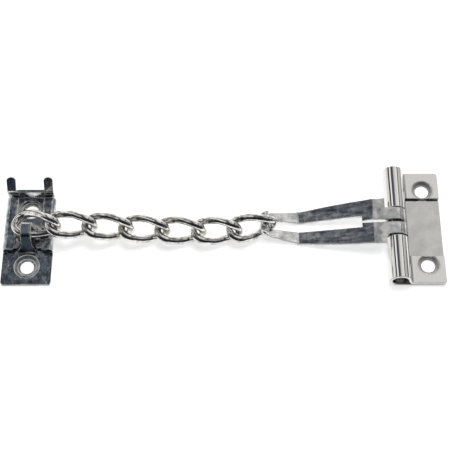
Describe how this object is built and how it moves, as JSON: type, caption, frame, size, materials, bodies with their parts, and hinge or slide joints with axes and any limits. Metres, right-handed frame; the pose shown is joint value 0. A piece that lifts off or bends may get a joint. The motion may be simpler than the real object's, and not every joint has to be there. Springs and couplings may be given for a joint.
{
  "type": "door chain",
  "caption": "Plated steel door chain: a hinged slotted arm on a folded hinge plate, a chain of twisted links, and a slide that runs out of a lipped guide plate.",
  "frame": {"origin": "middle of the hinge plate's two screw holes, on its back face", "axes": "+X from the guide plate to the hinge plate along the chain, +Y up the plates, +Z out of the back faces"},
  "size_m": [0.1735, 0.049, 0.0153],
  "materials": {
    "plate_plating": "bright nickel plate with light wear",
    "arm_plating": "bright nickel plate, a little mottled",
    "link_wire": "bright nickel plated wire",
    "pin_steel": "drawn steel"
  },
  "bodies": {
    "hinge_plate": {"hinge_plate": "plate_plating", "hinge_pin": "pin_steel"},
    "swing_arm": {"swing_arm": "arm_plating"},
    "link_1": {"link_1": "link_wire"},
    "link_2": {"link_2": "link_wire"},
    "link_3": {"link_3": "link_wire"},
    "link_4": {"link_4": "link_wire"},
    "link_5": {"link_5": "link_wire"},
    "link_6": {"link_6": "link_wire"},
    "link_7": {"link_7": "link_wire"},
    "chain_slide": {"chain_slide": "plate_plating"},
    "guide_plate": {"guide_plate": "plate_plating"}
  },
  "joints": [
    {"name": "arm_swing", "type": "hinge", "parent": "hinge_plate", "child": "swing_arm", "pos_m": [-0.01175, 0, 0.00425], "axis": [0, 1, 0], "range_deg": [0, 150]},
    {"name": "last_link_tilt", "type": "hinge", "parent": "swing_arm", "child": "link_7", "pos_m": [-0.06405, -0.0002, 0.0057], "axis": [0, 1, 0], "range_deg": [0, 45]},
    {"name": "link_6_swing", "type": "hinge", "parent": "link_7", "child": "link_6", "pos_m": [-0.07408, -0.00337, 0.00585], "axis": [0, 0, 1], "range_deg": [-10, 24]},
    {"name": "link_5_tilt", "type": "hinge", "parent": "link_6", "child": "link_5", "pos_m": [-0.09188, -0.00363, 0.00585], "axis": [0, 1, 0], "range_deg": [-18, 18]},
    {"name": "link_4_swing", "type": "hinge", "parent": "link_5", "child": "link_4", "pos_m": [-0.10248, -0.00324, 0.0057], "axis": [0, 0, 1], "range_deg": [-18, 18]},
    {"name": "link_3_tilt", "type": "hinge", "parent": "link_4", "child": "link_3", "pos_m": [-0.12022, -0.00286, 0.00715], "axis": [0, 1, 0], "range_deg": [-18, 18]},
    {"name": "link_2_swing", "type": "hinge", "parent": "link_3", "child": "link_2", "pos_m": [-0.13071, -0.00278, 0.00869], "axis": [0, 0, 1], "range_deg": [-18, 18]},
    {"name": "link_1_tilt", "type": "hinge", "parent": "link_2", "child": "link_1", "pos_m": [-0.1484, -0.00297, 0.01064], "axis": [0, 1, 0], "range_deg": [-2, 34]},
    {"name": "slide_swing", "type": "hinge", "parent": "link_1", "child": "chain_slide", "pos_m": [-0.15717, -0.00455, 0.00575], "axis": [0, 0, 1], "range_deg": [-10, 10]},
    {"name": "guide_release", "type": "slide", "parent": "chain_slide", "child": "guide_plate", "axis": [0, -1, 0], "range_m": [0, 0.026]}
  ]
}
